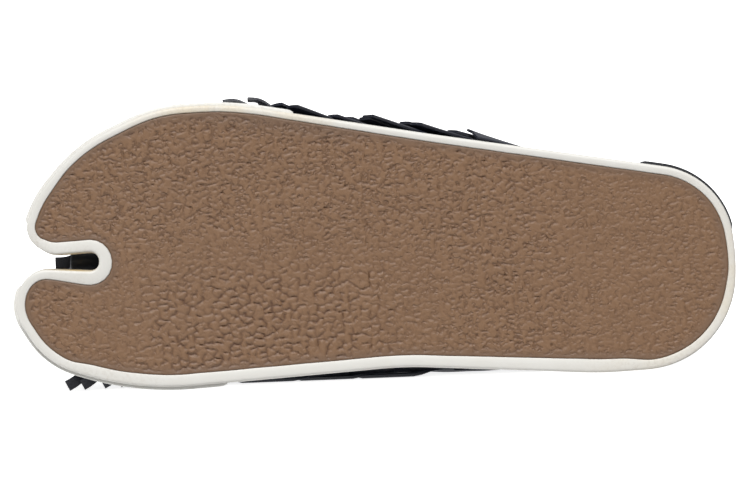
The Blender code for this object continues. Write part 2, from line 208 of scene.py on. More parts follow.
def walk_outline(step):
    """Points, outward directions, rim widths and run, in even steps: heel, outer side, toes, inner."""
    corners = np.array([row[1:3] for row in OUTLINE])
    chain = []
    for i, (_, _, _, radius, rim) in enumerate(OUTLINE):
        before = corners[i] - corners[i - 1]
        after = corners[(i + 1) % len(corners)] - corners[i]
        before, after = before / np.hypot(*before), after / np.hypot(*after)
        turn = math.atan2(before[0] * after[1] - before[1] * after[0], before @ after)
        left = np.array((-before[1], before[0]))
        start = corners[i] - before * abs(radius * math.tan(turn / 2))
        centre = start + left * math.copysign(radius, turn)
        for angle in np.linspace(0.0, turn, 2 + math.ceil(abs(turn) * radius / 0.4)):
            c, s = math.cos(angle), math.sin(angle)
            spin = np.array(((c, -s), (s, c)))
            chain.append((*(centre + spin @ (start - centre)), *(spin @ left), rim))
    chain = np.array(chain + chain[:1])
    run = np.concatenate(([0.0], np.cumsum(np.hypot(*np.diff(chain[:, :2], axis=0).T))))
    places = np.linspace(0.0, run[-1], round(run[-1] / step), endpoint=False)
    even = np.column_stack([np.interp(places, run, chain[:, k]) for k in range(5)])
    out = even[:, 2:4] / np.linalg.norm(even[:, 2:4], axis=1)[:, None]
    return even[:, :2], out, even[:, 4], places


EDGE, OUTWARD, RIM, RUN = walk_outline(EDGE_STEP)
# The rim's width changes gently from one corner to the next: each step is blurred with its neighbours.
NEAR = 9
blur = np.exp(-((np.arange(-NEAR, NEAR + 1) * EDGE_STEP / 4.0) ** 2))
RIM = np.convolve(np.concatenate((RIM[-NEAR:], RIM, RIM[:NEAR])), blur / blur.sum(), "valid")
print(f"outline: {len(EDGE)} steps, {RUN[-1] + EDGE_STEP:.0f} mm round")

# %% [markdown]
# ## Heights of the sole
# The heel is 22 mm thick and the forefoot 18 mm, and the toes spring up 5 mm. A level runs from 0 at
# the tread to 100 at the lip: the last 6 at either end are true millimetres, so that corners keep
# their shape, and the stretch between takes up the changing thickness.

# %% Levels
HEEL_THICK, FOREFOOT_THICK, TOE_SPRING = 22.0, 18.0, 5.0
CORNER = 6.0  # levels at either end that are true millimetres


def true_height(u, level):
    """Height in mm of a level of the sole at u."""
    height = HEEL_THICK - (HEEL_THICK - FOREFOOT_THICK) * smooth_step((u - 70.0) / 120.0)
    spring = TOE_SPRING * np.clip((u - 208.0) / 62.0, 0.0, None) ** 2
    low = np.minimum(level, CORNER)
    high = np.maximum(level - (100.0 - CORNER), 0.0)
    share = np.clip((level - CORNER) / (100.0 - 2.0 * CORNER), 0.0, 1.0)
    return low + share * (height - 2.0 * CORNER) + high + spring


def loop_at(out, level):
    """The outline moved out by a distance (one value, or one for each step), at a level."""
    flat = EDGE + OUTWARD * np.broadcast_to(out, len(EDGE))[:, None]
    return np.column_stack((flat, true_height(flat[:, 0], np.broadcast_to(level, len(EDGE)))))


def wall_out(level):
    """How far the wall of the cup stands out from the outline: a slight belly."""
    return 0.42 - 0.42 * ((level - 50.0) / 52.0) ** 2


print("lip over the tread, mm:", {u: round(float(true_height(u, 100.0)), 1) for u in (10, 200, 270)})

# %% [markdown]
# ## The cream cup sole
# The midsole is one moulding of off-white rubber with a rounded bottom corner, a rim that frames the
# tread and a thin lip around the foot bed. It could be turned from a profile with a curve and a
# bevel object, but the rim changes its width all the way round. So the profile is a short list of
# levels, and each one is a whole loop of the outline, joined to the next.

# %% Where the cup is stained, and where shade is painted in its seams
# Old glue has yellowed in the toe slot and the lower rim has picked up dirt from the floor.
STAINS = (
    # name, along, across, reach, yellow, dirt
    ("slot_inner_wall", 250.0, 45.5, 9.0, 1.0, 0.3),
    ("slot_outer_wall", 247.0, 51.5, 7.0, 0.15, 0.3),
    ("toe_lip", 264.0, 56.0, 6.0, 0.25, 0.5),
    ("ball_outer", 200.0, 106.0, 22.0, 0.35, 0.5),
    ("ball_outer_rear", 165.0, 101.0, 18.0, 0.2, 0.35),
    ("toe_inner", 240.0, 2.0, 26.0, 0.0, 0.35),
    ("heel_inner", 30.0, 0.0, 24.0, 0.1, 0.45),
    ("heel_back", 1.0, 30.0, 26.0, 0.2, 0.3),
)
# Painted shade also lies in the seam at the foot of the toe bumpers: its height, its width and where
# it starts.
SEAM_UP, SEAM_WIDE, SEAM_FROM = 2.4, 0.7, 166.0
TOE_FROM = 230.0  # ahead of this the yellow stays off the rim


def stain_and_shade_marks(points):
    """Amounts of yellowing, of dirt and of painted shade in the bumper seams, at points of the shoe
    frame.
    """
    yellow, dirt_and_seam_shade = np.zeros(len(points)), np.zeros(len(points))
    for _, u, v, reach, more_yellow, more_dirt in STAINS:
        near = np.exp(-((points[:, 0] - u) ** 2 + (points[:, 1] - v) ** 2) / reach**2)
        yellow = np.maximum(yellow, near * more_yellow)
        dirt_and_seam_shade = np.maximum(dirt_and_seam_shade, near * more_dirt)
    height = points[:, 2] - true_height(points[:, 0], 0.0)
    # Painted shade: the seam at the foot of the bumpers is darkened along with the dirt.
    bumper_seam_shade = np.exp(-(((height - SEAM_UP) / SEAM_WIDE) ** 2))
    bumper_seam_shade = bumper_seam_shade * smooth_step((points[:, 0] - SEAM_FROM) / 4.0)
    dirt_and_seam_shade = np.maximum(dirt_and_seam_shade, 0.9 * bumper_seam_shade)
    above_rim = smooth_step((height - 0.3) / 0.9)
    return {"yellow": yellow * np.where(points[:, 0] > TOE_FROM, above_rim, 1.0), "dirt_and_seam_shade": dirt_and_seam_shade}


# %% [markdown]
# ### Cream moulded rubber
# The cup is vulcanised rubber from a polished mould, which gives a soft satin with a faint waxy
# gloss. One flat colour would look like plastic, so clouds of 9 mm change the tone, and specks of
# 1.3 mm carry the dirt, the painted shade in the seams at the foot of the toe bumpers and a very
# fine relief. The points of the mesh say where it is stained and where shade is painted.

# %% Cream moulded rubber
def cream_rubber():
    """Vulcanised rubber: off-white satin, yellowed by glue, specked with dirt and painted with shade
    in the bumper seams.
    """
    made, shader, add, place = new_material("cream_moulded_rubber")
    cloud = add("TexNoise", {"Vector": place, "Scale": per_mm(9.0), "Detail": 5.0})
    speck = add("TexNoise", {"Vector": place, "Scale": per_mm(1.3), "Detail": 6.0, "Roughness": 0.7})
    yellow = add("Attribute", out="Fac", attribute_name="yellow")
    dirt_and_seam_shade = add("Attribute", out="Fac", attribute_name="dirt_and_seam_shade")
    patchy = add("MapRange", {"Value": cloud, "From Min": 0.36, "From Max": 0.62, "To Min": 0.35})
    aged = add("Math", {0: yellow, 1: patchy}, operation="MULTIPLY")
    specks = add("MapRange", {"Value": speck, "From Min": 0.46, "From Max": 0.74, "To Min": 0.12,
                              "To Max": 0.9})
    dirt_and_shade_amount = add("Math", {0: dirt_and_seam_shade, 1: specks}, operation="MULTIPLY")
    tone = add("Mix", {"Factor": cloud, 6: linear("#D6D5D0"), 7: linear("#CFCCC5")}, **COLOURS)
    glue = add("Mix", {"Factor": aged, 6: tone, 7: linear("#DCC48E")}, **COLOURS)
    # Dirt and the painted shade in the bumper seams share one darker grey brown.
    dirt_and_shade_tone = add("Mix", {"Factor": dirt_and_shade_amount, 6: glue, 7: linear("#9C8D78")}, **COLOURS)
    gloss = add("MapRange", {"Value": speck, "To Min": 0.42, "To Max": 0.62})
    bump = add("Bump", {"Height": speck, "Strength": 0.12, "Distance": 0.0002})
    set_inputs(shader, {"Base Color": dirt_and_shade_tone, "Roughness": gloss, "Normal": bump, "IOR": 1.52})
    return made


# %% Midsole
LIP = 3.0  # width of the lip round the foot bed
RIM_WOBBLE = np.array([0.12 * noise.noise((u / 11.0, v / 11.0, 3.0)) for u, v in EDGE])
RIM_CUT = RIM + RIM_WOBBLE
# Each entry is a distance out from the outline and a level: up the rim's inner edge, over the rim,
# up the wall and over the lip.
PROFILE = [
    (-RIM_CUT, 3.6), (-RIM_CUT, 1.2), (-RIM_CUT, 0.55), (-RIM_CUT + 0.06, 0.3),
    (-RIM_CUT + 0.2, 0.1), (-RIM_CUT + 0.42, 0.0), (-1.25, 0.0), (-0.95, 0.03), (-0.68, 0.1),
    (-0.44, 0.22), (-0.24, 0.42), (-0.1, 0.7), (-0.02, 1.1), (0.02, 1.7), (0.04, 2.6),
]
PROFILE += [(wall_out(level), level) for level in (5, 10, 18, 30, 42, 54, 66, 78, 88, 94, 96.5, 98)]
PROFILE += [(-0.05, 98.8), (-0.28, 99.4), (-0.7, 99.8), (-1.2, 100.0), (-2.5, 100.0), (-2.85, 99.85),
            (-LIP, 99.4), (-LIP, 95.0)]
cup = np.concatenate([loop_at(out, level) for out, level in PROFILE])
add_piece("midsole_cup", cup, ring_faces(len(PROFILE), len(EDGE)), cream_rubber(),
          "midsole", marks=stain_and_shade_marks(cup))

# %% [markdown]
# ## The crackled tread
# The outsole is a sheet of brown rubber with a crepe-like crackle: smooth blobs of 2 to 4 mm, parted
# by short curved creases that start and stop. A bump map alone would look flat from the side, so
# the creases are cut into a fine square grid, trimmed to the rim. This cell makes such a grid inside
# any loop. Its border points are pulled onto the loop, so that the edge runs smooth.

# %% Square grid inside a loop
def resample(loop, step):
    """Points at even steps along a closed loop."""
    closed = np.vstack((loop, loop[:1]))
    run = np.concatenate(([0.0], np.cumsum(np.hypot(*np.diff(closed, axis=0).T))))
    places = np.arange(0.0, run[-1], step)
    return np.column_stack([np.interp(places, run, closed[:, k]) for k in (0, 1)])


def nearest_tree(points):
    """A search tree that finds the nearest of flat points."""
    tree = kdtree.KDTree(len(points))
    for k, point in enumerate(points):
        tree.insert((point[0], point[1], 0.0), k)
    tree.balance()
    return tree


def depth_from_edge(points, loop):
    """Distance of each point from a loop."""
    tree = nearest_tree(resample(loop, 0.25))
    return np.array([tree.find((u, v, 0.0))[2] for u, v in points])


def crossings(loop, u):
    """Places across the shoe, in order, where a closed loop passes u."""
    ahead = np.roll(loop, -1, axis=0)
    passes = (loop[:, 0] - u) * (ahead[:, 0] - u) < 0
    a, b = loop[passes], ahead[passes]
    return np.sort(a[:, 1] + (u - a[:, 0]) / (b[:, 0] - a[:, 0]) * (b[:, 1] - a[:, 1]))


def grid_inside(loop, step):
    """Points and quads of a square grid inside a closed loop, its border pulled onto the loop."""
    us = np.arange(loop[:, 0].min() + step / 2, loop[:, 0].max(), step)
    vs = np.arange(loop[:, 1].min() + step / 2, loop[:, 1].max(), step)
    inside = np.zeros((len(us), len(vs)), bool)
    for i, u in enumerate(us):
        cuts = crossings(loop, u)
        for low, high in zip(cuts[::2], cuts[1::2]):
            inside[i] |= (vs > low) & (vs < high)
    cell = inside[:-1, :-1] & inside[1:, :-1] & inside[:-1, 1:] & inside[1:, 1:]
    around = np.zeros(inside.shape, int)
    for du in (0, 1):
        for dv in (0, 1):
            around[du:len(us) - 1 + du, dv:len(vs) - 1 + dv] += cell
    number = np.cumsum((around > 0).ravel()).reshape(around.shape) - 1
    iu, iv = np.nonzero(around > 0)
    points = np.column_stack((us[iu], vs[iv]))
    cu, cv = np.nonzero(cell)
    quads = np.column_stack((number[cu, cv], number[cu + 1, cv], number[cu + 1, cv + 1],
                             number[cu, cv + 1]))
    fine = resample(loop, 0.1)
    tree = nearest_tree(fine)
    for k in np.flatnonzero(around[iu, iv] < 4):
        points[k] = fine[tree.find((*points[k], 0.0))[1]]
    return points, quads


# %% [markdown]
# ### Creases between blobs
# Seeds are scattered over the sheet, one to a blob. Each place knows its three nearest seeds,
# through a wavy lens that bends the lines, and the line midway between two seeds is a crease. Each
# pair of seeds draws its own depth, and a patchy noise breaks the creases off, so that they start
# and stop as in torn crepe. A cell texture would close every blob with an even line.

# %% Creases
noise.seed_set(5)  # noise vectors start from the clock otherwise
BLOB_EDGE = 1.3  # a blob falls off towards its crease over so many mm


def pair_chance(a, b):
    """A fixed chance from 0 to 1 for two seeds."""
    pick = math.sin(12.9898 * (a + b) + 78.233 * abs(a - b)) * 43758.5453
    return pick - math.floor(pick)


def crackle(points, along, across, seed, missing, half_width, level):
    """Depth from 0 to 1 of the creases between blobs, and of the blobs' own roundness.

    Level, from 0 to 1, is how much weaker a crease is that runs across the shoe."""
    chance = np.random.default_rng(seed)
    us, vs = np.meshgrid(np.arange(-8, 284, along), np.arange(-8, 116, across), indexing="ij")
    vs[::2] += across / 2
    seeds = np.column_stack((us.ravel() / along, vs.ravel() / across))
    seeds += chance.uniform(-0.38, 0.38, seeds.shape)
    tree = nearest_tree(seeds)
    crease, fall = np.zeros(len(points)), np.zeros(len(points))
    for k, (u, v) in enumerate(points):
        bend = 0.65 * noise.noise_vector((u / 2.3, v / 2.3, seed))
        bend += 0.22 * noise.noise_vector((u / 0.9, v / 0.9, seed))
        spot = (u + bend.x) / along, (v + bend.y) / across
        (_, a, da), *others = tree.find_n((*spot, 0.0), 3)
        patch = min(1.0, max(0.0, 1.0 + 2.2 * noise.noise((u / 2.4, v / 2.4, seed + 31.0))))
        flat = 1.0
        for _, b, db in others:
            to_line = across * (db * db - da * da) / (2.0 * math.dist(seeds[a], seeds[b]))
            if to_line > BLOB_EDGE:
                continue
            drawn = 1.5 * (pair_chance(a, b) - missing) / (1.0 - missing)
            strength = min(1.0, max(0.0, drawn)) * patch
            step = seeds[b] - seeds[a]
            strength *= 1.0 - level * step[0] ** 2 / (step[0] ** 2 + step[1] ** 2)
            crease[k] = max(crease[k], strength * math.exp(-((to_line / half_width) ** 2)))
            flat *= 1.0 - strength * (1.0 - to_line / BLOB_EDGE) ** 1.8
        fall[k] = 1.0 - flat
    return crease, fall


def swell_field(points, size, seed):
    """Low swells of the sheet, from about -1 to 1."""
    return np.array([noise.noise((u / size, v / size, seed)) for u, v in points])


# %% [markdown]
# ### Brown crackled rubber
# Coloured rubber pressed against a rough plate is matt, with a slight shine on the blobs. The creases
# are painted dark, partly for the grit in them and partly as painted shade, and the smooth margin by
# the rim is painted a little greyer and darker, partly as dust and partly as painted shade from the
# rim.
# Nicks finer than the mesh are left to the material: they are lines round the hills of a smooth noise,
# kept only where a second noise is high, pressed in by bump and painted dark as shade.

# %% Brown crackled rubber
def brown_rubber():
    """Pressed rubber: warm brown, painted darker as shade in the creases, dull there and faintly shiny
    on the blobs.
    """
    made, shader, add, place = new_material("brown_crackled_rubber")
    cloud = add("TexNoise", {"Vector": place, "Scale": per_mm(16.0), "Detail": 4.0})
    grit = add("TexNoise", {"Vector": place, "Scale": per_mm(0.8), "Detail": 3.0, "Roughness": 0.7})
    crease = add("Attribute", out="Fac", attribute_name="crease")
    rim_shade_and_dust = add("Attribute", out="Fac", attribute_name="rim_shade_and_dust")
    nicked = add("Attribute", out="Fac", attribute_name="nicked")
    drawn_out = add("Mapping", {"Vector": place, "Scale": (0.95, 1.0, 1.0)})
    hills = add("TexNoise", {"Vector": drawn_out, "Scale": per_mm(1.6), "Detail": 0.0})
    off = add("Math", {0: hills, 1: 0.5}, operation="SUBTRACT")
    near = add("Math", {0: off}, operation="ABSOLUTE")
    line = add("MapRange", {"Value": near, "From Max": 0.2, "To Min": 1.0, "To Max": 0.0},
               interpolation_type="SMOOTHSTEP")
    here = add("TexNoise", {"Vector": place, "Scale": per_mm(2.2), "Detail": 1.0})
    kept = add("MapRange", {"Value": here, "From Min": 0.48, "From Max": 0.62, "To Max": nicked})
    nick = add("Math", {0: line, 1: kept}, operation="MULTIPLY")
    tone = add("Mix", {"Factor": cloud, 6: linear("#7B5C41"), 7: linear("#73553B")}, **COLOURS)
    worn = add("MapRange", {"Value": grit, "From Min": 0.5, "From Max": 0.8, "To Max": 0.35})
    dusty = add("Mix", {"Factor": worn, 6: tone, 7: linear("#826246")}, **COLOURS)
    # Painted shade and dust: the band by the rim is mixed towards a darker grey brown.
    rim_band_shade_and_dust = add("Mix", {"Factor": rim_shade_and_dust, 6: dusty, 7: linear("#6B523E")}, **COLOURS)
    # Painted shade: the nicks are painted dark as well as pressed in by bump.
    nick_shade_painted = add("Math", {0: nick, 1: 0.42}, operation="MULTIPLY")
    shade = add("Math", {0: crease, 1: nick_shade_painted}, operation="MAXIMUM")
    # Painted shade: creases and nicks are mixed towards dark brown, partly for grit and partly as
    # shade.
    crease_shade_painted = add("Mix", {"Factor": shade, 6: rim_band_shade_and_dust, 7: linear("#391A05")}, **COLOURS)
    gloss = add("MapRange", {"Value": grit, "To Min": 0.4, "To Max": 0.66})
    dull = add("Math", {0: gloss, 1: shade}, operation="MAXIMUM")
    bump = add("Bump", {"Height": grit, "Strength": 0.55, "Distance": 0.0002})
    cuts = add("Bump", {"Height": nick, "Distance": 0.00024, "Normal": bump}, invert=True)
    set_inputs(shader, {"Base Color": crease_shade_painted, "Roughness": dull, "Normal": cuts,
                        "Specular IOR Level": 0.42})
    return made


# %% [markdown]
# ### Relief of the sheet
# The crackle is coarse and deep under the ball, finer behind it and finest at the heel. So three
# crackles are made, each with its own size of blob, and weighed by zone. Towards the rim the relief
# calms down to a smooth margin, and a band by the rim is painted darker and greyer, partly as dust and
# partly as painted shade from the rim; it is wider where the outer edge is rubbed.

# %% Relief of the tread
TREAD_STEP, TREAD_PLAY = 0.36, 0.04
# Depths in mm below the rim: of the sheet, of a crease, of a blob's fall, and of the sheet's own edge.
SHEET_DEEP, CREASE_DEEP, FALL_DEEP, EDGE_DEEP = 0.28, 0.34, 0.44, 0.3
MARGIN = 4.5
CRACKLES = (
    # zone, blob along, blob across, seed, missing, half width, weaker across, crease, roundness
    ("ball", 3.3, 2.6, 11, 0.02, 0.30, 0.2, 1.0, 1.0),
    ("middle", 2.6, 2.05, 23, 0.2, 0.28, 0.5, 0.85, 0.8),
    ("heel", 2.0, 1.55, 37, 0.3, 0.26, 0.45, 0.8, 0.8),
)
tread_loop = EDGE - OUTWARD * (RIM_CUT + TREAD_PLAY)[:, None]
tread, tread_quads = grid_inside(tread_loop, TREAD_STEP)
inset = depth_from_edge(tread, tread_loop)
calm = smooth_step((inset - 0.3) / 1.8)
# The ball is a soft patch on the inner side, and the heel fades out towards the waist.
ball = np.exp(-(((tread[:, 0] - 178.0) / 62.0) ** 4) - ((tread[:, 1] - 20.0) / 30.0) ** 4)
heel = 0.8 * (1.0 - smooth_step((tread[:, 0] - 20.0) / 70.0))
zones = {"ball": ball, "middle": (1.0 - ball) * (1.0 - heel), "heel": heel}
cut, fall = np.zeros(len(tread)), np.zeros(len(tread))
for zone, *blobs, crease_part, round_part in CRACKLES:
    crease, roundness = crackle(tread, *blobs)
    cut = np.maximum(cut, crease_part * crease * zones[zone])
    fall = fall + round_part * roundness * zones[zone]
cut, fall = cut * calm, fall * calm
# Fine nicks stay off the coarse ball. The band of painted dust and shade by the rim is twice as wide
# where the outer edge is rubbed.
nicked = (1.0 - 0.6 * ball) * (1.0 - 0.5 * heel) * calm
rubbed = np.exp(-(((tread[:, 0] - 172.0) / 30.0) ** 4)) * (tread[:, 1] > 60.0)
rim_shade_and_dust = 1.0 - smooth_step(inset / (MARGIN + MARGIN * rubbed))
swell = 0.09 * swell_field(tread, 2.6, 47.0) + 0.08 * swell_field(tread, 1.1, 53.0)
sink = SHEET_DEEP + CREASE_DEEP * cut + FALL_DEEP * fall - swell * calm
sink += EDGE_DEEP * np.clip(1.0 - inset / 0.5, 0.0, 1.0) ** 2
tread_top = np.column_stack((tread, true_height(tread[:, 0], sink)))
print(f"tread: {len(tread)} points, sunk {sink.min():.2f} to {sink.max():.2f} mm")

# %% [markdown]
# ### The sheet as a solid
# A piece has to be closed, so the border of the sheet is followed round and let down to a flat base
# inside the cup. The tread is parted at the waist into two pieces, so that neither has too many
# faces. Only the hidden walls of the cut lie between them.

# %% Outsole
CUT_ALONG = 138.0
TREAD_BASE = 3.3  # level of the hidden base
# The crease mark is painted shade, partly grit: this is how dark a full crease is painted.
CREASE_SHADE_PAINTED = 0.9  # how strongly a full crease is darkened


def close_sheet(top, quads, under):
    """A sheet made into a closed solid: a wall down from its border to given heights, and a base."""
    sides = np.sort(np.concatenate([quads[:, [i, (i + 1) % 4]] for i in range(4)]), axis=1)
    sides, count = np.unique(sides, axis=0, return_counts=True)
    follow = {}
    for a, b in sides[count == 1].tolist():
        follow.setdefault(a, []).append(b)
        follow.setdefault(b, []).append(a)
    start = next(iter(follow))
    order, last = [start], None
    while True:
        step = [k for k in follow[order[-1]] if k != last]
        last = order[-1]
        if step[0] == start and len(order) > 2:
            break
        order.append(step[0])
    size, n = len(top), len(order)
    base = top[order].copy()
    base[:, 2] = under(base[:, 0])
    faces = [tuple(q) for q in quads.tolist()]
    faces += [(order[i], order[(i + 1) % n], size + (i + 1) % n, size + i) for i in range(n)]
    faces.append(tuple(range(size, size + n)))
    return np.vstack((top, base)), faces, order


brown = brown_rubber()
ahead_of_cut = tread[tread_quads[:, 0], 0] >= CUT_ALONG
for name, half in (("outsole_heel_tread", ~ahead_of_cut), ("outsole_forefoot_tread", ahead_of_cut)):
    used, quads = np.unique(tread_quads[half], return_inverse=True)
    points, faces, order = close_sheet(tread_top[used], quads.reshape(-1, 4),
                                       lambda u: true_height(u, TREAD_BASE))
    base = np.zeros(len(order))
    # The crease mark is painted shade in the creases, partly grit; the mark by the rim is painted dust
    # and shade.
    marks = {
        "crease": np.concatenate((CREASE_SHADE_PAINTED * cut[used], base)),
        "rim_shade_and_dust": np.concatenate((rim_shade_and_dust[used], base + 1.0)),
        "nicked": np.concatenate((nicked[used], base)),
    }
    add_piece(name, points, faces, brown, "outsole", 75.0, marks)

# %% [markdown]
# ## Bands on the wall
# A second layer of white rubber is wrapped round each half of the toe, and a thin black strip is
# stuck to the heel's outer side. A curve with a bevel would give such a strip, but it wouldn't follow
# the belly of the wall, so each is a small rounded section carried along a stretch of the outline.
# All come as calendered strip, rolled smooth between cylinders, and share one recipe.

# %% White and black rubber
def strip_rubber(name, main, scuffed, roughness):
    """Calendered strip: smooth and a little glossier than the cup, with faint scuffs of 2.4 mm."""
    made, shader, add, place = new_material(name)
    scuff = add("TexNoise", {"Vector": place, "Scale": per_mm(2.4), "Detail": 7.0, "Roughness": 0.7,
                             "Distortion": 0.6})
    worn = add("MapRange", {"Value": scuff, "From Min": 0.5, "From Max": 0.75})
    tone = add("Mix", {"Factor": worn, 6: linear(main), 7: linear(scuffed)}, **COLOURS)
    gloss = add("MapRange", {"Value": scuff, "To Min": roughness - 0.1, "To Max": roughness + 0.1})
    bump = add("Bump", {"Height": scuff, "Strength": 0.1, "Distance": 0.0002})
    set_inputs(shader, {"Base Color": tone, "Roughness": gloss, "Normal": bump, "IOR": 1.52})
    return made


white = strip_rubber("white_calendered_rubber", "#D4D3CE", "#C8C4BC", 0.45)
black = strip_rubber("black_calendered_rubber", "#15171C", "#2A2C31", 0.42)

# %% Bands
BAND_STEP = 1.5
BURIED = 0.05  # a band's inner face lies so far inside the wall


def run_to(column, value, which):
    """Place on the outline's run where u (column 0) or v (column 1) passes a value."""
    step = EDGE[:, column] - value
    i = np.flatnonzero(step[:-1] * step[1:] <= 0)[which]
    return RUN[i] + step[i] / (step[i] - step[i + 1]) * (RUN[i + 1] - RUN[i])


def add_band(name, first, last, thick, low, high, look):
    """A thin layer on the wall between two places of the run and between two levels."""
    places = np.linspace(first, last, round((last - first) / BAND_STEP))
    path = np.column_stack([np.interp(places, RUN, EDGE[:, k]) for k in (0, 1)])
    outs = np.column_stack([np.interp(places, RUN, OUTWARD[:, k]) for k in (0, 1)])
    levels = np.linspace(low, high, 7)
    # Up the wall, over the rounded top edge, down the outer face and under the bottom edge.
    ring = [(0.0, level) for level in levels]
    ring += [(thick - 0.3, high), (thick, high - 0.12), (thick + 0.2, high - 0.4)]
    ring += [(thick + 0.2, level) for level in levels[-2:0:-1]]
    ring += [(thick + 0.2, low + 0.4), (thick, low + 0.12), (thick - 0.3, low)]
    from_end = np.minimum(np.arange(len(places)), np.arange(len(places))[::-1])
    taper = np.minimum(1.0, from_end / 2 + 0.45)  # thinner at both ends
    rings = []
    for k in range(len(places)):
        for out, level in ring:
            flat = path[k] + outs[k] * (wall_out(level) - BURIED + out * taper[k])
            rings.append((*flat, true_height(flat[0], level)))
    add_piece(name, np.array(rings), ring_faces(len(places), len(ring)), look,
              name.removesuffix("_layer"))


add_band("toe_bumper_lateral_layer", run_to(0, 165.0, 0), run_to(1, 64.0, 1), thick=1.0, low=3.0,
         high=95.5, look=white)
add_band("toe_bumper_medial_layer", run_to(1, 40.0, 1), run_to(0, 194.0, -1), thick=1.0, low=3.0,
         high=95.5, look=white)
add_band("heel_strip_layer", run_to(1, 51.5, 0), run_to(0, 33.5, 0), thick=0.9, low=30.0,
         high=62.0, look=black)

# %% [markdown]
# ## The foot bed
# The insole is a leather sock over a moulded board. It lies inside the lip, a little hollowed under
# the heel and the ball and raised under the arch, with the darker print that a foot leaves. The
# same grid as the tread's, but coarser, carries these soft shapes.

# %% Insole leather
def insole_leather():
    """Vegetable-tanned lining, dyed dark: matt, finely pebbled, and shiny where it is worn."""
    made, shader, add, place = new_material("insole_lining_leather")
    pebble = add("TexVoronoi", {"Vector": place, "Scale": per_mm(1.1)})
    cloud = add("TexNoise", {"Vector": place, "Scale": per_mm(12.0), "Detail": 5.0})
    worn = add("Attribute", out="Fac", attribute_name="worn")
    tone = add("Mix", {"Factor": cloud, 6: linear("#2A2826"), 7: linear("#211F1E")}, **COLOURS)
    footprint = add("Mix", {"Factor": worn, 6: tone, 7: linear("#161514")}, **COLOURS)
    gloss = add("MapRange", {"Value": worn, "To Min": 0.68, "To Max": 0.42})
    bump = add("Bump", {"Height": pebble, "Strength": 0.25, "Distance": 0.0003})
    set_inputs(shader, {"Base Color": footprint, "Roughness": gloss, "Normal": bump})
    return made


# %% Insole
HOLLOWS = (
    # name, along, across, reach along, reach across, rise
    ("heel", 36.0, 36.0, 30.0, 22.0, -1.4),
    ("ball_inner", 205.0, 26.0, 24.0, 17.0, -0.9),
    ("ball_outer", 190.0, 78.0, 24.0, 17.0, -0.8),
    ("arch", 112.0, 12.0, 38.0, 13.0, 0.7),
    ("big_toe", 250.0, 26.0, 14.0, 11.0, -0.7),
    ("small_toes", 240.0, 74.0, 16.0, 14.0, -0.6),
)
MIDDLE = 48.5  # the line between the toes, across the shoe
BED_STEP, BED_TOP, BED_BASE = 1.9, 99.4, 95.3  # step of its grid in mm, and two levels
# Where the vamp's front and rear edges meet the sole. The foot bed makes room for its wall there.
UPPER_THICK = 2.0
FRONT_INNER, FRONT_OUTER, REAR_INNER, REAR_OUTER = 230.0, 170.0, 66.0, 58.0
outer_side = EDGE[:, 1] > MIDDLE
behind_front = np.where(outer_side, FRONT_OUTER, FRONT_INNER) - EDGE[:, 0]
ahead_of_rear = EDGE[:, 0] - np.where(outer_side, REAR_OUTER, REAR_INNER)
under_vamp = np.minimum(ahead_of_rear, behind_front) + 12.0
room = smooth_step(1.0 + under_vamp / 16.0) * (UPPER_THICK + 1.2 * GAP)
insole_loop = EDGE - OUTWARD * (LIP + GAP + room)[:, None]
bed, bed_quads = grid_inside(insole_loop, BED_STEP)
bed_inset = depth_from_edge(bed, insole_loop)
bed_rise, bed_worn = np.zeros(len(bed)), np.zeros(len(bed))
for _, u, v, reach_u, reach_v, rise in HOLLOWS:
    near = np.exp(-((bed[:, 0] - u) / reach_u) ** 2 - ((bed[:, 1] - v) / reach_v) ** 2)
    bed_rise += rise * near
    bed_worn = np.maximum(bed_worn, near * (rise < 0))
bed_rise *= smooth_step(bed_inset / 8.0)
bed_edge = 0.8 * np.clip(1.0 - bed_inset / 1.6, 0.0, 1.0) ** 2
bed_top = np.column_stack((bed, true_height(bed[:, 0], BED_TOP) + bed_rise - bed_edge))
bed_points, bed_faces, bed_order = close_sheet(bed_top, bed_quads, lambda u: true_height(u, BED_BASE))
add_piece("insole_foot_bed", bed_points, bed_faces, insole_leather(), "insole",
          marks={"worn": np.concatenate((bed_worn, np.zeros(len(bed_order))))})

# %% [markdown]
# ## The shape of the upper
# The vamp is wrapped over a last, the wooden foot that a shoemaker builds on. Each section of the
# last is an arch between the two sides of the sole, with its own ridge height, squareness and
# flare, and a valley runs between the toes. The sections are read into a table of points once, and
# every place on the vamp is then looked up by how far along it is and by its share of the way round.

# %% Last
LAST = np.array((
    # along, ridge height, ridge shift, squareness, medial flare, lateral flare
    (62.0, 66.0, -2.0, 2.3, 5.2, 3.0),
    (90.0, 66.0, -2.5, 2.3, 3.9, 2.2),
    (118.0, 63.0, -3.0, 2.3, 0.0, 0.6),
    (156.0, 53.0, -3.0, 2.4, 0.0, 0.0),
    (194.0, 41.0, -2.5, 2.6, 0.0, 0.0),
    (230.0, 32.0, -1.5, 2.8, 0.0, 0.0),
    (264.0, 26.0, -1.0, 2.9, 0.0, 0.0),
))
EDGES = np.array((
    # share, front edge, rear edge, root of first row, row spacing
    (0.00, FRONT_INNER, REAR_INNER, 214.0, 23.5),
    (0.25, 244.0, 93.0, 227.0, 21.5),
    (0.47, 253.5, 112.0, 229.5, 20.0),
    (0.57, 252.0, 109.0, 228.5, 19.6),
    (0.72, 226.0, 98.0, 205.0, 18.6),
    (1.00, FRONT_OUTER, REAR_OUTER, 153.0, 18.0),
))
FRONT, REAR, ROOT, SPACING = 1, 2, 3, 4  # columns of that table
SIDE_LOOP = EDGE - OUTWARD * (LIP + GAP)


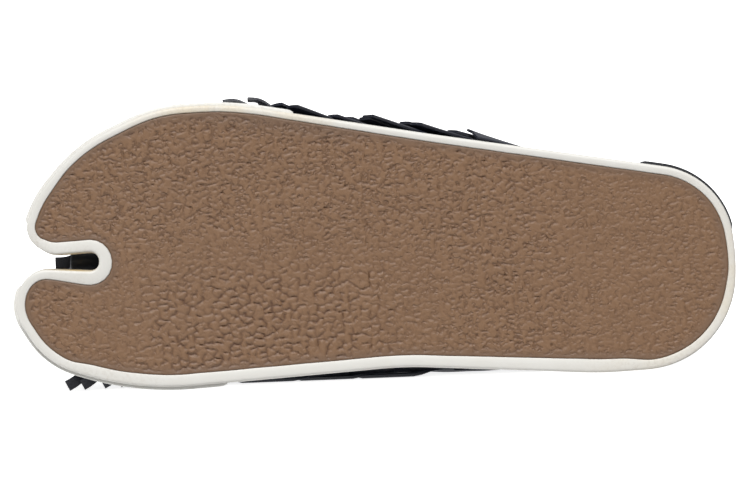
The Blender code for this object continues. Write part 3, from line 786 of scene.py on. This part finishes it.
def smooth_column(table, column, at):
    """Smooth curve through one column of a table, read at places on its first column."""
    keys, values = table[:, 0], table[:, column]
    slopes = np.gradient(values, keys)
    at = np.clip(at, keys[0], keys[-1])
    i = np.clip(np.searchsorted(keys, at) - 1, 0, len(keys) - 2)
    span = keys[i + 1] - keys[i]
    t = (at - keys[i]) / span
    rise = (2 * t**3 - 3 * t**2 + 1) * values[i] + (3 * t**2 - 2 * t**3) * values[i + 1]
    return rise + span * ((t**3 - 2 * t**2 + t) * slopes[i] + (t**3 - t**2) * slopes[i + 1])


def last_section(u, valley):
    """Across and up of the outer curve of the upper at u, inner base to outer base."""
    sides = crossings(SIDE_LOOP, min(u, 256.0))
    inner, outer = sides[0], sides[-1]
    height, shift, square, flare_in, flare_out = (smooth_column(LAST, k, u) for k in range(1, 6))
    turn = np.linspace(0.0, math.pi, 241)
    rise = np.abs(np.sin(turn)) ** (2.0 / square)
    swing = np.sign(np.cos(turn)) * np.abs(np.cos(turn)) ** (2.0 / square)
    v = 0.5 * (inner + outer) - 0.5 * (outer - inner) * swing + shift * rise**1.5
    up = height * rise
    belly = np.sin(math.pi * np.clip((up - 5.0) / 44.0, 0.0, 1.0)) ** 2
    v = v - belly * np.where(swing > 0, flare_in, -flare_out)
    split = valley * smooth_step((u - 196.0) / 58.0)
    up = up - split * np.exp(-(((v - MIDDLE) / 7.5) ** 2)) * rise
    return v, true_height(u, 95.0) + GAP + up


print("last: ridge heights, mm:", LAST[:, 1].tolist())

# %% [markdown]
# ### The leather over the last
# A foot has pushed the soft leather out over the lip of the cup on both sides, and on the inner side
# the shoe lies on it. So just above the lip the table is moved out: a little on the outer side, and
# down to the floor on the inner one.

# %% Table of the vamp
VAMP_STEP = 1.5
VAMP_U = np.arange(56.0, 292.0, VAMP_STEP)
VAMP_SHARE = np.linspace(0.0, 1.0, 221)
VALLEY, SHALLOW_VALLEY = 15.0, 3.0
OUTER_ROLL, MOST_INNER_ROLL = 2.0, 7.0
OFF_FLOOR_REAR, OFF_FLOOR_FRONT = 0.75, 1.5  # the rolled leather stops so far above the floor


def over_lip(gone):
    """How far the leather rolls out over the lip, from 0 to 1, at a distance up from its base."""
    return smooth_step((gone - 4.8) / 4.5) * (1.0 - smooth_step((gone - 13.0) / 16.0))


def vamp_table(valley):
    """Points over the last by u and share, their outward directions, and the girth at each u."""
    table, girths = [], []
    for u in VAMP_U:
        v, z = last_section(u, valley)
        run = np.concatenate(([0.0], np.cumsum(np.hypot(np.diff(v), np.diff(z)))))
        at = VAMP_SHARE * run[-1]
        around = np.interp(at, run, v), np.interp(at, run, z)
        table.append(np.column_stack((np.full(len(at), u), *around)))
        girths.append(run[-1])
    table, girths = np.array(table), np.array(girths)
    stretch = smooth_step((VAMP_U - 64.0) / 14.0) * (1.0 - smooth_step((VAMP_U - 204.0) / 20.0))
    from_inner = np.outer(girths, VAMP_SHARE)
    inner_roll = over_lip(from_inner) * stretch[:, None]
    outer_roll = over_lip(girths[:, None] - from_inner) * stretch[:, None]
    # On the inner side the black leather rolled down to the floor is partly the pushed-out upper and
    # partly a dark sheet standing in for the shade under the sole.
    forward = smooth_step((VAMP_U - 108.0) / 14.0)[:, None]
    rest = OFF_FLOOR_REAR + (OFF_FLOOR_FRONT - OFF_FLOOR_REAR) * forward
    to_floor = (floor_height(table) - rest) / math.cos(LEAN)
    table[:, :, 1] += OUTER_ROLL * outer_roll - inner_roll * np.clip(to_floor, 0.0, MOST_INNER_ROLL)
    out = np.cross(np.gradient(table, VAMP_U, axis=0), np.gradient(table, VAMP_SHARE, axis=1))
    return table, out / np.linalg.norm(out, axis=2)[:, :, None], girths


VAMP, VAMP_OUT, GIRTH = vamp_table(VALLEY)
# Strips that cross the valley between the toes stand off as if it were shallow, so they don't pinch.
STRIP_OUT = vamp_table(SHALLOW_VALLEY)[1]


def on_vamp(u, share, outs=VAMP_OUT):
    """Points on the outer face of the vamp and their outward directions."""
    u, share = np.broadcast_arrays(np.asarray(u, float), np.asarray(share, float))
    shares = len(VAMP_SHARE) - 1
    a = np.clip((u - VAMP_U[0]) / VAMP_STEP, 0.0, len(VAMP_U) - 1.001)
    b = np.clip(share * shares, 0.0, shares - 0.001)
    i, j = a.astype(int), b.astype(int)
    a, b = (a - i)[..., None], (b - j)[..., None]
    found = []
    for table in (VAMP, outs):
        low = table[i, j] * (1 - b) + table[i, j + 1] * b
        high = table[i + 1, j] * (1 - b) + table[i + 1, j + 1] * b
        found.append(low * (1 - a) + high * a)
    return found[0], found[1] / np.linalg.norm(found[1], axis=-1)[..., None]


print(f"vamp: girth {GIRTH[VAMP_U.searchsorted(118)]:.0f} mm at the instep")

# %% [markdown]
# ## Black leather
# The upper is chrome-tanned calf, dyed through and finished with a thin wax. The eye sees fine grain
# cells, a soft highlight and a slightly blue black. A picture of leather could be mapped on it, but
# cells and pores made from noise keep their true size on every piece. The fringe is cut from a
# thinner leather of finer grain, so both come from one recipe.

# %% Black leather
def black_leather(name, main, worn, grain_mm, roughness):
    """Chrome-tanned calf, waxed: fine grain cells, a soft highlight and a slightly blue black."""
    made, shader, add, place = new_material(name)
    cells = add("TexVoronoi", {"Vector": place, "Scale": per_mm(grain_mm)}, feature="DISTANCE_TO_EDGE")
    pores = add("TexNoise", {"Vector": place, "Scale": per_mm(0.8), "Detail": 5.0})
    cloud = add("TexNoise", {"Vector": place, "Scale": per_mm(10.0), "Detail": 4.0})
    tone = add("Mix", {"Factor": cloud, 6: linear(main), 7: linear(worn)}, **COLOURS)
    gloss = add("MapRange", {"Value": pores, "To Min": roughness - 0.12, "To Max": roughness + 0.12})
    furrow = add("MapRange", {"Value": cells, "From Max": 0.18})
    relief = add("Math", {0: furrow, 1: pores}, operation="ADD")
    bump = add("Bump", {"Height": relief, "Strength": 0.22, "Distance": 0.0002})
    set_inputs(shader, {"Base Color": tone, "Roughness": gloss, "Normal": bump,
                        "Sheen Weight": 0.12, "Sheen Tint": linear("#8A95B0")})
    return made


# %% [markdown]
# ## The leather vamp
# The upper is a single shell of leather 2 mm thick with turned edges. It is soft, so walking has
# set a few creases across the ball, and the rear edge has relaxed into shallow waves. Each crease
# is listed as a trough with a low ridge on both sides. The section of the shell is a closed
# loop: along the outer face, round the front edge, back along the inner face and round the rear edge.

# %% Creases of the vamp
CREASES = (
    # name, along at the middle, lean towards the outer side, from share, to share, depth, half width
    ("ball_front", 222.0, -26.0, 0.12, 0.78, 0.9, 3.4),
    ("ball_rear", 208.0, -24.0, 0.18, 0.72, 0.7, 3.0),
    ("instep_low", 184.0, -14.0, 0.28, 0.66, 0.5, 4.0),
    ("collar_inner", 108.0, 6.0, 0.16, 0.44, 0.7, 5.0),
    ("collar_outer", 104.0, -8.0, 0.58, 0.86, 0.6, 5.0),
    ("arch_fold", 92.0, 10.0, 0.03, 0.2, 0.5, 4.0),
)


def crease_height(u, share):
    """Troughs and ridges of the worn leather, outward."""
    total = np.zeros(np.shape(u))
    for _, along, lean, low, high, depth, half in CREASES:
        middle = along + lean * (share - 0.5 * (low + high)) / (high - low)
        across = (u - middle) / half
        ends = smooth_step((share - low) / 0.06) * smooth_step((high - share) / 0.06)
        total += depth * ends * (0.55 * np.exp(-((np.abs(across) - 1.7) ** 2)) - np.exp(-across**2))
    return total


# %% Upper
SHELL_ACROSS, SHELL_ALONG = 150, 84
HEM_TURN = np.radians((35, 70, 110, 145))  # round a turned edge, from the outer face to the inner
LEAST_OFF_FLOOR = 0.05


def turned_edge(middle, before, out, half, turns):
    """Points round an edge of the shell, from the last two points of its middle line."""
    ahead = middle - before
    ahead /= np.linalg.norm(ahead)
    return [middle + half * (math.cos(t) * out + math.sin(t) * ahead) for t in turns]


def shell_loop(share):
    """Closed section of the shell at a share of the way round, kept off the floor."""
    front, rear = (smooth_column(EDGES, k, np.array(share)) for k in (FRONT, REAR))
    stations = rear + 1.0 + (front - rear - 2.0) * np.linspace(0.0, 1.0, SHELL_ALONG)
    face, out = on_vamp(stations, share)
    from_base = min(share, 1 - share)
    hem = np.exp(-((np.minimum(stations - rear, front - stations) / 4.0) ** 4))
    soft = crease_height(stations, np.full(SHELL_ALONG, share)) * smooth_step(from_base / 0.05)
    wave = 0.35 * np.sin(share * 19.0) * np.exp(-(stations - rear) / 9.0)
    wave *= smooth_step(from_base / 0.1)
    middle = face + out * (soft + wave - UPPER_THICK / 2)[:, None]
    half = UPPER_THICK / 2 + 0.16 * hem
    front_edge = turned_edge(middle[-1], middle[-2], out[-1], half[-1], HEM_TURN)
    rear_edge = turned_edge(middle[0], middle[1], out[0], half[0], HEM_TURN[::-1])
    thick = out * half[:, None]
    loop = np.vstack((middle + thick, front_edge, (middle - thick)[::-1], rear_edge))
    loop[:, 1] += np.maximum(LEAST_OFF_FLOOR - floor_height(loop), 0.0) / math.cos(LEAN)
    return loop


shell = [shell_loop(share) for share in np.linspace(0.0, 1.0, SHELL_ACROSS + 1)]
leather = black_leather("black_waxed_calf", "#17181D", "#1F2127", 1.6, 0.46)
add_piece("upper_vamp", np.concatenate(shell), ring_faces(len(shell), len(shell[0])), leather,
          "upper")

# %% [markdown]
# ## The fringe
# Each row is a band of thin black leather, slit into strips about 4 mm wide and sewn down along its
# uncut head. The strips lie over the head of the row in front, like shingles, and the loose ends
# lift and stray. A table says how far they lift round the foot. The ends that stand out past the
# sole are placed one by one, because they are seen against the light ground.

# %% Lift of the strips
LIFT = np.array((
    # share, first row, other rows
    (0.00, 5.5, 1.2), (0.12, 7.0, 1.4), (0.30, 2.0, 1.4), (0.60, 1.5, 1.4), (0.84, 2.0, 1.6),
    (0.94, 1.6, 1.4), (1.00, 1.6, 1.4),
))
# On the outer side each row puffs out over the lip by so many mm, and is so much shorter.
SIDE_LIFT = (1.2, 0.7, -0.7, 0.5, 0.5, 0.0)
SIDE_LENGTH = (0.68, 0.7, 0.8, 1.0, 1.0, 1.0)
# Ends of the first row that show one by one: their place in the shoe's sizes, the turn towards the
# tread's edge, the tilt about their own length, and half their width.
LOOSE_ENDS = {
    # strip: along, across, up, turn, tilt, half width
    0: (235.7, 1.25, 21.2, 22.0, 0.0, 1.6),
    1: (242.1, 1.5, 19.8, 27.0, 0.0, 2.1),
    2: (249.8, 1.35, 18.4, 27.0, 0.0, 2.1),
    3: (255.4, 1.25, 17.0, 27.0, 0.0, 2.1),
    -2: (192.4, 107.7, 33.0, 8.0, -75.0, 1.9),
    -1: (182.8, 108.2, 29.0, -4.0, -75.0, 1.9),
}
# In the other rows the lowest strip hangs over the lip, just off the floor: its height over the
# tread, half its width, its distance off the floor, and its length in spacings of the rows.
HANG_UP, HANG_HALF, HANG_OFF_FLOOR = 23.2, 1.9, 0.25
HANG_LENGTH = (1.5, 1.5, 2.6, 1.8, 1.8, 1.8)
FRINGE_THICK, HEAD, PITCH, SLIT, FOOT_CLEAR = 1.1, 6.0, 4.0, 0.35, 7.5
STRIP_LENGTH = 1.5  # of the other strips, in spacings of the rows
# One strip of the first row lies in the middle of the toe slot, at this share of the way round.
IN_SLOT = float(np.interp(48.4, on_vamp(256.0, VAMP_SHARE)[0][:, 1], VAMP_SHARE))
print(f"fringe: the strip in the toe slot is at {IN_SLOT:.2f} of the way round")

# %% [markdown]
# ### Where a strip lies
# Strips follow the vamp at a height that grows from the root to the tip. Under the shoe the floor
# presses them flat, so the height is cut off where the floor would be. Ends that are placed or that
# hang are worked out apart, and a strip passes smoothly from its own way into such an end.

# %% Where a strip lies
def strip_points(row, share, reach, length, over, lift):
    """Points of a strip: reach from 0 at the root to 1 at the tip, over above its under side."""
    u = smooth_column(EDGES, ROOT, share) - row * smooth_column(EDGES, SPACING, share) + reach * length
    point, out = on_vamp(u, share, STRIP_OUT)
    tip = smooth_column(LIFT, 1 if row == 0 else 2, share)
    curl = 1.2 + 1.6 * (row == 0) * (1.0 - smooth_step((share - 0.12) / 0.1))
    rise = 0.6 + 2.5 * reach + tip * reach**curl + lift * reach**1.5 + over
    rise = rise + SIDE_LIFT[row] * smooth_step((share - 0.8) / 0.12) * smooth_step(reach / 0.4)
    if row:
        rise = rise + 1.2 * (1.0 - smooth_step((share - 0.08) / 0.14)) * smooth_step(reach / 0.4)
    under_next = 1.0 - smooth_step((reach - 0.36) / 0.28)
    clear = 0.4 + FRINGE_THICK - over + under_next * (FRINGE_THICK + GAP)
    fall = -(out[..., 1] * math.cos(LEAN) - out[..., 2] * math.sin(LEAN))
    limit = (floor_height(point) - clear) / np.maximum(fall, 0.05)
    rise = np.where(fall > 0.05, np.minimum(rise, limit), rise)
    return point + out * rise[..., None]


def placed_end(end, back, across, over):
    """Points of a placed end, at a distance back from its tip."""
    u, v, z, turn, tilt, wide = end
    c, s = math.cos(math.radians(turn)), math.sin(math.radians(turn))
    ct, st = math.cos(math.radians(tilt)), math.sin(math.radians(tilt))
    points = np.array((u, v, z)) + back * np.array((c, -s, 0.0))
    points = points + np.outer(wide * across, (s * ct, c * ct, st))
    return points + np.outer(over, (-s * st, -c * st, ct))


def hung_end(points, across, over):
    """Points of a strip moved out to hang flat over the lip, just off the floor."""
    hung = points.copy()
    hung[:, 2] = HANG_UP + HANG_HALF * across
    hung[:, 1] += (HANG_OFF_FLOOR + FRINGE_THICK - over - floor_height(hung)) / math.cos(LEAN)
    return hung


# %% [markdown]
# ### Cutting the rows
# Curves with a bevel would round the cut edges, so every strip is a flat section of eight points,
# carried from the head to the square-cut tip. Strips differ a little in width, length, lift, sway
# and twist, by chances from a fixed seed for each row, so that every run gives the same fringe.

# %% Head and strip
SECTION = ((-1.0, 0.0), (0.0, 0.0), (1.0, 0.0), (1.0, 0.72), (0.84, 1.0), (0.0, 1.0), (-0.84, 1.0),
           (-1.0, 0.72))
STRIP_ACROSS = np.array([x for x, _ in SECTION])
STRIP_OVER = FRINGE_THICK * np.array([y for _, y in SECTION])
STRIP_RINGS = 12
SLOT_HALF, SLOT_SHIFT = 2.4, -0.2  # half width and shift of the strip in the toe slot


def row_head(row, shares):
    """Points of the uncut head of a row, six to a ring."""
    rings = []
    for share in shares:
        length = smooth_column(EDGES, SPACING, np.array(share)) * STRIP_LENGTH
        reach = np.array((0.0, 0.06, HEAD / length, HEAD / length, 0.06, 0.0))
        over = FRINGE_THICK * np.array((0.0, 0.0, 0.0, 1.0, 1.0, 1.0))
        rings.append(strip_points(row, np.full(6, share), reach, length, over, 0.0))
    return np.concatenate(rings)


def slot_ring(middle, reach, length):
    """A ring of the strip that lies in the toe slot, straight and level."""
    size = len(SECTION)
    flat = strip_points(0, np.full(size, middle), np.full(size, reach), length, STRIP_OVER, 0.0)
    return flat + np.outer(SLOT_HALF * STRIP_ACROSS + SLOT_SHIFT, (0.0, 1.0, 0.0))


def strip_ring(row, shares, reach, length, tilt, placed, hangs):
    """A ring of a strip, drawn towards its placed or hanging end where it has one."""
    points = strip_points(row, shares, np.full(len(SECTION), reach), length, STRIP_OVER, tilt)
    if placed:
        end = placed_end(placed, length * (reach - 1.0), STRIP_ACROSS, STRIP_OVER)
        points = points + smooth_step((reach - 0.35) / 0.6) * (end - points)
    if hangs:
        end = hung_end(points, STRIP_ACROSS, STRIP_OVER)
        points = points + smooth_step((reach - 0.3) / 0.25) * (end - points)
    return points


# %% Rows of fringe
def add_row(row, look):
    """One row: its head, and all its strips from the inner side to the outer."""
    chance = np.random.default_rng(40 + row)
    girth = np.interp(233.0 - 20.0 * row, VAMP_U, GIRTH)
    low, high = FOOT_CLEAR / girth, 1.0 - FOOT_CLEAR / girth
    count = round((high - low) * girth / PITCH)
    pitch = (high - low) / count
    if row == 0:
        pitch = (IN_SLOT - low) / (round((IN_SLOT - low) / pitch - 0.5) + 0.5)
        count = int((high - low) / pitch)
        high = low + count * pitch
    head_shares = np.linspace(low, high, 3 * count + 1)
    verts = [row_head(row, head_shares)]
    faces = ring_faces(len(head_shares), 6)
    first = len(verts[0])
    sway = 0.0
    for k in range(count):
        middle = low + (k + 0.5) * pitch
        half = 0.5 * (pitch - SLIT / girth) * chance.uniform(0.9, 1.0)
        spacing = float(smooth_column(EDGES, SPACING, np.array(middle)))
        length = STRIP_LENGTH * spacing * chance.uniform(0.93, 1.03)
        length *= 1.0 - (1.0 - SIDE_LENGTH[row]) * smooth_step((middle - 0.84) / 0.1)
        sway = 0.6 * sway + chance.normal(0.0, 0.9) / girth
        in_slot = row == 0 and abs(middle - IN_SLOT) < 0.5 * pitch
        hangs = row > 0 and k == 0
        if row == 0:
            by_slot = math.exp(-(((middle - IN_SLOT) / 0.05) ** 2))
            sway *= 1.0 - by_slot
            length *= 0.7 + 0.3 * smooth_step((middle - 0.03) / 0.09)
            length *= 1.0 - 0.22 * by_slot * (not in_slot)
        if hangs:
            length = spacing * HANG_LENGTH[row]
        lift = chance.uniform(-0.5, 0.6)
        start = (HEAD - 0.8) / length
        tilt = lift + chance.normal(0.0, 0.35) * STRIP_ACROSS
        placed = row == 0 and (LOOSE_ENDS.get(k) or LOOSE_ENDS.get(k - count))
        for reach in start + (1.0 - start) * np.linspace(0.0, 1.0, STRIP_RINGS):
            shares = middle + half * STRIP_ACROSS + sway * reach**2
            if in_slot:
                verts.append(slot_ring(middle, reach, length))
            else:
                verts.append(strip_ring(row, shares, reach, length, tilt, placed, hangs))
        faces += ring_faces(STRIP_RINGS, len(SECTION), first)
        first += STRIP_RINGS * len(SECTION)
    add_piece(f"fringe_{row + 1}_strips", np.concatenate(verts), faces, look,
              f"fringe_row_{row + 1}", sharp_deg=35.0)


fringe_leather = black_leather("black_glove_leather", "#0D0F19", "#161926", 0.9, 0.5)
for row in range(6):
    add_row(row, fringe_leather)

# %% [markdown]
# ## Seams
# A line of stitches holds the head of the last row and the turned rear edge of the vamp. Each stitch
# is a short raised thread that dips into the leather at both ends. They are all one mesh, made from
# the same small ring of points.

# %% Stitches
STITCH, STITCH_GAP, THREAD_RADIUS = 2.4, 1.0, 0.32
RINGS, ROUND = 7, 6  # rings along a stitch, and points round each
SEAM_OFF_FLOOR = 1.2  # the seams begin where they come up off the floor


def thread_along(path, outs):
    """Raised stitches along a path of points, from where it is off the floor."""
    begin = np.flatnonzero(floor_height(path) < SEAM_OFF_FLOOR).max(initial=-1) + 1
    path, outs = path[begin:], outs[begin:]
    run = np.concatenate(([0.0], np.cumsum(np.linalg.norm(np.diff(path, axis=0), axis=1))))
    arch = np.sin(np.linspace(0.0, math.pi, RINGS))
    size = THREAD_RADIUS * (0.55 + 0.45 * arch)
    turn = np.linspace(0.0, 2 * math.pi, ROUND, endpoint=False)[:, None]
    stitches = []
    for start in np.arange(1.0, run[-1] - STITCH, STITCH + STITCH_GAP):
        at = start + STITCH * np.linspace(0.0, 1.0, RINGS)
        line = np.column_stack([np.interp(at, run, path[:, k]) for k in range(3)])
        up = np.column_stack([np.interp(at, run, outs[:, k]) for k in range(3)])
        ahead = line[-1] - line[0]
        side = np.cross(ahead / np.linalg.norm(ahead), up)
        line = line + up * (THREAD_RADIUS * (1.2 * arch - 0.9))[:, None]
        stitches += [line[i] + size[i] * (np.cos(turn) * side[i] + np.sin(turn) * up[i])
                     for i in range(RINGS)]
    return stitches


shares = np.linspace(0.05, 0.95, 400)
row_root = smooth_column(EDGES, ROOT, shares) - 5 * smooth_column(EDGES, SPACING, shares)
head_face, head_out = on_vamp(row_root + 2.4, shares)
head_face = head_face + head_out * (0.6 + FRINGE_THICK + 0.2)
collar_face, collar_out = on_vamp(smooth_column(EDGES, REAR, shares) + 3.4, shares)
collar_face = collar_face + collar_out * 0.1
stitches = thread_along(head_face, head_out) + thread_along(collar_face, collar_out)
stitch_faces = []
for first in range(0, len(stitches) * ROUND, RINGS * ROUND):
    stitch_faces += ring_faces(RINGS, ROUND, first)
thread = strip_rubber("black_waxed_thread", "#121318", "#23252B", 0.5)
add_piece("vamp_stitches", np.concatenate(stitches), stitch_faces, thread)

# %% [markdown]
# ## Floor, light and camera
# The picture is a bright catalogue shot on white. A real white floor throws so much light back that
# it fills the creases of the tread, so this one is seen by the camera but throws no light onto the
# shoe, and a weak light from below stands for what it gives to the underside of the rim. The
# surround too is brighter to the camera than it is as a light.

# %% Floor
FLOOR_HALF = 6.0


def matt_floor():
    """White paper: matt, with a very faint unevenness, glowing a little so that it burns out to white.
    """
    made, shader, add, place = new_material("white_paper_floor")
    fibre = add("TexNoise", {"Vector": place, "Scale": per_mm(40.0), "Detail": 3.0})
    tone = add("Mix", {"Factor": fibre, 6: linear("#F3F3F3"), 7: linear("#F1F1F1")}, **COLOURS)
    # The paper glows a little, so that shadows on it fade into the white.
    set_inputs(shader, {"Base Color": tone, "Roughness": 0.9, "Specular IOR Level": 0.1,
                        "Emission Color": WHITE, "Emission Strength": 0.8})
    return made


corners = [(FLOOR_HALF * x, FLOOR_HALF * y, 0.0) for x, y in ((-1, -1), (1, -1), (1, 1), (-1, 1))]
floor_mesh = bpy.data.meshes.new("floor")
floor_mesh.from_pydata(corners, [], [(0, 1, 2, 3)])
floor_mesh.materials.append(matt_floor())
floor = bpy.data.objects.new("floor", floor_mesh)
bpy.context.scene.collection.objects.link(floor)
floor.visible_diffuse = False
floor.visible_shadow = False

# %% Lights
def soft_sun(name, towards, spread_deg, strength):
    """A wide soft light from a direction, even over the whole floor."""
    lamp = bpy.data.lights.new(name, "SUN")
    lamp.angle = math.radians(spread_deg)
    lamp.energy = strength
    made = bpy.data.objects.new(name, lamp)
    made.rotation_euler = Vector(towards).to_track_quat("Z", "Y").to_euler()
    bpy.context.scene.collection.objects.link(made)
    print(f"{name}: strength {strength}, {spread_deg:.0f} degrees wide")


soft_sun("key_light", (-0.15, -0.75, 1.0), 25.0, 3.6)
soft_sun("back_light", (0.3, 0.8, 1.0), 60.0, 0.5)
soft_sun("light_off_the_floor", (-0.6, 0.1, -0.8), 50.0, 1.6)
world = bpy.data.worlds.new("white_surround")
bpy.context.scene.world = world
world.use_nodes = True
seen = add_node(world.node_tree, "LightPath", out="Is Camera Ray")
strength = add_node(world.node_tree, "MapRange", {"Value": seen, "To Min": 0.32})
set_inputs(world.node_tree.nodes["Background"], {"Color": WHITE, "Strength": strength})
bpy.context.scene.view_settings.view_transform = "Standard"

# %% [markdown]
# ### Camera
# The camera looks straight at the tread from 1.3 m with a long lens, so that the sole keeps its true
# shape, and it is rolled two degrees as in the photograph. Its three axes are worked out one by one
# and set as a matrix, because angles would hide which way it leans.

# %% Camera
ROLL = math.radians(2.2026)
AIM = Vector((0.001156, -0.036977, 0.055222))
DISTANCE, LENS = 1.3012, 165.25
back = Vector((0.0, -math.cos(LEAN), math.sin(LEAN)))
level_up = Vector((0.0, math.sin(LEAN), math.cos(LEAN)))
level_right = Vector((1.0, 0.0, 0.0))
right = math.cos(ROLL) * level_right - math.sin(ROLL) * level_up
up = math.sin(ROLL) * level_right + math.cos(ROLL) * level_up
turned = Matrix((right, up, back)).transposed().to_4x4()
lens = bpy.data.cameras.new("camera")
lens.sensor_width = 36.0
lens.lens = LENS
camera = bpy.data.objects.new("camera", lens)
camera.matrix_world = Matrix.Translation(AIM + DISTANCE * back) @ turned
bpy.context.scene.collection.objects.link(camera)
bpy.context.scene.camera = camera
print(f"camera: {DISTANCE} m away, lens {LENS} mm")
